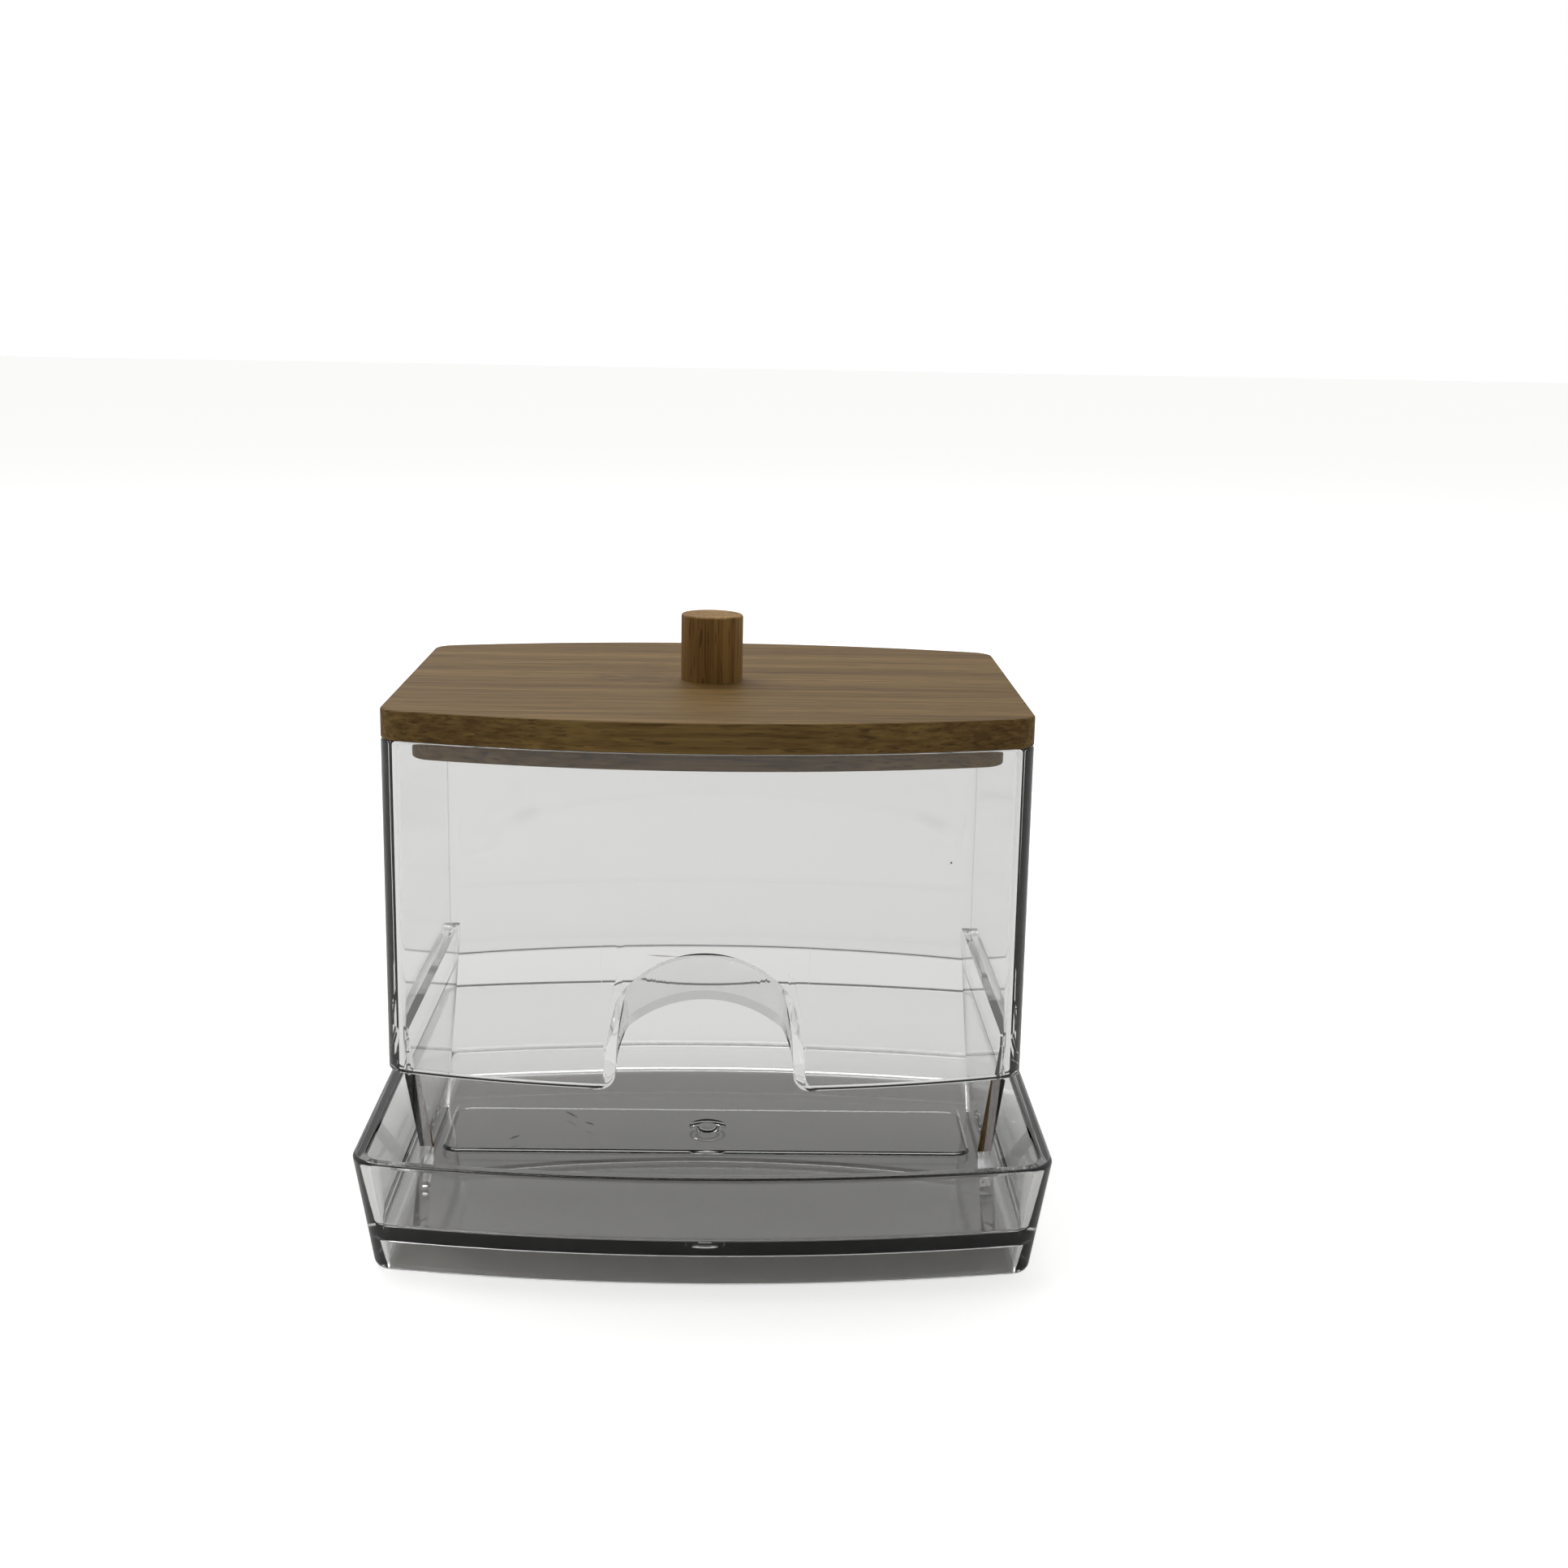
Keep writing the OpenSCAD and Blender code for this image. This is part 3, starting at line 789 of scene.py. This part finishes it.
class DISPENSER_OT_lid(bpy.types.Operator):
    """Build the bamboo board with its plug"""
    bl_idname = "dispenser.lid"
    bl_label = "Lid"

    def execute(self, context):
        colours = context.scene.dispenser_colours
        knot = (-12.1 * MM, 0, 85.4 * MM)
        material = bamboo(
            "Oiled bamboo board", colours.board, colours.board_dark, colours.fleck,
            fibres=(24, 1500, 1500), flecks=(150, 3200, 3200), knot=knot)
        piece = build_lid(context.scene.dispenser_lid, material)
        finish_piece(piece, material, "lid")
        return {"FINISHED"}


class DISPENSER_OT_knob(bpy.types.Operator):
    """Build the bamboo dowel knob"""
    bl_idname = "dispenser.knob"
    bl_label = "Knob"

    def execute(self, context):
        colours = context.scene.dispenser_colours
        material = bamboo(
            "Bamboo dowel", colours.dowel, colours.dowel_dark, colours.fleck,
            fibres=(1500, 1500, 40), flecks=(3200, 3200, 200))
        piece = build_knob(context.scene.dispenser_lid, material)
        finish_piece(piece, material, "knob")
        return {"FINISHED"}


class DISPENSER_OT_stage(bpy.types.Operator):
    """Set the floor, the lights and the camera"""
    bl_idname = "dispenser.stage"
    bl_label = "Stage"

    def execute(self, context):
        scene = context.scene
        scene.view_settings.view_transform = "Standard"

        # A matt paper floor that runs off to white, with a little glow for the camera alone. It lies a
        # hair below the tray's foot, so that their faces don't coincide.
        reach, underside, hair = 6.0, -10 * MM, 0.05 * MM
        floor = loft("floor", [
            [Vector((x * reach, y * reach, z)) for x, y in ((-1, -1), (1, -1), (1, 1), (-1, 1))]
            for z in (underside, -hair)])
        paper = bpy.data.materials.new("Matt white paper")
        tree = fresh_tree(paper)
        # The paper enclosed by the tray's skirt gets a painted shade, a darker colour that stands for the
        # tray's own shade.
        # The shade's border is soft, 3 mm deep at the front and rear and a sixteenth of the half width deep
        # at the sides.
        tray = scene.dispenser_tray
        border_y, border_x = 3 * MM, 1 / 16
        inset = tray.height * math.tan(tray.draft)
        where = add(tree, "ShaderNodeTexCoord")
        apart = add(tree, "ShaderNodeSeparateXYZ", (where.outputs["Object"],))
        across = add(tree, "ShaderNodeMath", (
            apart.outputs["X"], 1 / (tray.half_width - inset)), operation="MULTIPLY")
        across2 = add(tree, "ShaderNodeMath", (across, across), operation="MULTIPLY")
        bow = add(tree, "ShaderNodeMath", (
            across2, -tray.bow, tray.half_depth - inset + tray.bow), operation="MULTIPLY_ADD")
        off = add(tree, "ShaderNodeMath", (apart.outputs["Y"],), operation="ABSOLUTE")
        beyond = add(tree, "ShaderNodeMath", (off, bow), operation="SUBTRACT")
        past_y = add(tree, "ShaderNodeMath", (beyond, 1 / border_y), operation="MULTIPLY")
        wide = add(tree, "ShaderNodeMath", (across,), operation="ABSOLUTE")
        past_x = add(tree, "ShaderNodeMath", (wide, 1 / border_x, -1 / border_x), operation="MULTIPLY_ADD")
        past = add(tree, "ShaderNodeMath", (past_x, past_y), operation="MAXIMUM")
        shade = add(tree, "ShaderNodeMapRange", {"Value": past, "From Min": -1.0, "From Max": 0.0})
        dim = add(tree, "ShaderNodeMix", {
            "Factor": shade, 6: (*scene.dispenser_colours.shade, 1), 7: (*scene.dispenser_colours.floor, 1)},
            data_type="RGBA")
        # Painted light: the painted shade is paler towards the front, where more light comes in under the
        # front wall
        front = add(tree, "ShaderNodeMapRange", {
            "Value": apart.outputs["Y"], "From Min": -15 * MM, "From Max": -40 * MM, "To Max": 0.35})
        paler = add(tree, "ShaderNodeMix", {
            "Factor": front, 6: dim.outputs[2], 7: (*scene.dispenser_colours.floor, 1)}, data_type="RGBA")
        matt = add(tree, "ShaderNodeBsdfDiffuse", {"Color": paler.outputs[2]})
        rays = add(tree, "ShaderNodeLightPath")
        camera_glow = 0.6
        strength = add(tree, "ShaderNodeMath", (
            rays.outputs["Is Camera Ray"], camera_glow), operation="MULTIPLY")
        glow = add(tree, "ShaderNodeEmission", {"Strength": strength})
        lit = add(tree, "ShaderNodeAddShader", (matt, glow))
        add(tree, "ShaderNodeOutputMaterial", (lit,))
        floor.data.materials.append(paper)

        # A white room that is brighter behind than on the camera's side, dimmed where it is seen in a
        # reflection or through the plastic
        world = bpy.data.worlds.new("Studio")
        scene.world = world
        tree = fresh_tree(world)
        mirrored, seen_through = 0.42, 0.66
        way = add(tree, "ShaderNodeTexCoord")
        apart = add(tree, "ShaderNodeSeparateXYZ", (way.outputs["Generated"],))
        behind = add(tree, "ShaderNodeMapRange", {
            "Value": apart.outputs["Y"], "From Min": -0.6, "From Max": 0.4, "To Min": 0.12, "To Max": 0.62})
        rays = add(tree, "ShaderNodeLightPath")
        gloss = add(tree, "ShaderNodeMath", (rays.outputs["Is Glossy Ray"], mirrored), operation="MULTIPLY")
        clear = add(tree, "ShaderNodeMath", (
            rays.outputs["Is Transmission Ray"], seen_through), operation="MULTIPLY")
        either = add(tree, "ShaderNodeMath", (gloss, clear), operation="MAXIMUM")
        room = add(tree, "ShaderNodeMath", (either, behind), operation="MAXIMUM")
        seen = add(tree, "ShaderNodeMath", (rays.outputs["Is Camera Ray"], room), operation="MAXIMUM")
        light = add(tree, "ShaderNodeBackground", {"Color": (1, 1, 1, 1), "Strength": seen})
        add(tree, "ShaderNodeOutputWorld", (light,))

        # One broad lamp overhead, a strip in front and a small window behind, whose images light the rims
        aim = Vector((0, 0, 50 * MM))
        for name, place, wide, deep, energy in (
                ("Overhead", (-0.15, 0.25, 1.0), 0.9, 0.5, 4.2),
                ("Strip", (0.1, -0.75, 0.95), 1.3, 0.05, 0.5),
                ("Window", (-0.35, 0.75, 0.8), 0.16, 0.16, 1.1)):
            lamp = bpy.data.lights.new(name, "AREA")
            lamp.shape, lamp.size, lamp.size_y, lamp.energy = "RECTANGLE", wide, deep, energy
            made = bpy.data.objects.new(name, lamp)
            made.location = place
            made.rotation_euler = (aim - made.location).to_track_quat("-Z", "Y").to_euler()
            scene.collection.objects.link(made)

        # The photograph's own viewpoint
        stand = Vector((4.67, -328.59, 142.33)) * MM
        eye = bpy.data.cameras.new("Camera")
        eye.sensor_width, eye.lens = 36, 46.93
        camera = bpy.data.objects.new("Camera", eye)
        yaw, pitch, roll = math.radians(1.29), math.radians(12.75), math.radians(1.01)
        ahead = Vector((math.sin(yaw) * math.cos(pitch), math.cos(yaw) * math.cos(pitch), -math.sin(pitch)))
        right = ahead.cross(Vector((0, 0, 1))).normalized()
        up = right.cross(ahead)
        across = right * math.cos(roll) + up * math.sin(roll)
        upright = up * math.cos(roll) - right * math.sin(roll)
        turned = Matrix((across, upright, -ahead)).transposed().to_4x4()
        camera.matrix_world = Matrix.Translation(stand) @ turned
        scene.collection.objects.link(camera)
        scene.camera = camera
        return {"FINISHED"}


class DISPENSER_PT_panel(bpy.types.Panel):
    """The dispenser's sizes, colours and pieces"""
    bl_label = "Cotton swab dispenser"
    bl_space_type = "VIEW_3D"
    bl_region_type = "UI"
    bl_category = "Dispenser"

    def draw(self, context):
        for label, group, operators in PARTS:
            box = self.layout.box()
            box.label(text=label)
            for name in getattr(context.scene, group).bl_rna.properties.keys():
                if name not in ("rna_type", "name"):
                    box.prop(getattr(context.scene, group), name)
            for operator in operators:
                box.operator(operator)


PARTS = (
    ("Hopper", "dispenser_hopper", ("dispenser.hopper",)),
    ("Finger notch", "dispenser_notch", ()),
    ("Tray", "dispenser_tray", ("dispenser.tray",)),
    ("Lid and knob", "dispenser_lid", ("dispenser.lid", "dispenser.knob")),
    ("Colours", "dispenser_colours", ("dispenser.stage",)),
    ("Detail", "dispenser_detail", ()),
)
GROUPS = {
    "dispenser_hopper": DispenserHopper,
    "dispenser_notch": DispenserNotch,
    "dispenser_tray": DispenserTray,
    "dispenser_lid": DispenserLid,
    "dispenser_colours": DispenserColours,
    "dispenser_detail": DispenserDetail,
}
CLASSES = (
    *GROUPS.values(),
    DISPENSER_OT_tray,
    DISPENSER_OT_hopper,
    DISPENSER_OT_lid,
    DISPENSER_OT_knob,
    DISPENSER_OT_stage,
    DISPENSER_PT_panel,
)


def register():
    """Register the classes and hang the sizes on the scene."""
    for cls in CLASSES:
        bpy.utils.register_class(cls)
    for name, group in GROUPS.items():
        setattr(bpy.types.Scene, name, PointerProperty(type=group))


def unregister():
    """Take the sizes off the scene and drop the classes."""
    for name in GROUPS:
        delattr(bpy.types.Scene, name)
    for cls in reversed(CLASSES):
        bpy.utils.unregister_class(cls)


def main():
    """Build the pieces and the stage."""
    register()
    bpy.ops.dispenser.tray()
    bpy.ops.dispenser.hopper()
    bpy.ops.dispenser.lid()
    bpy.ops.dispenser.knob()
    bpy.ops.dispenser.stage()
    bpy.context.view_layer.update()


if __name__ == "__main__":
    main()
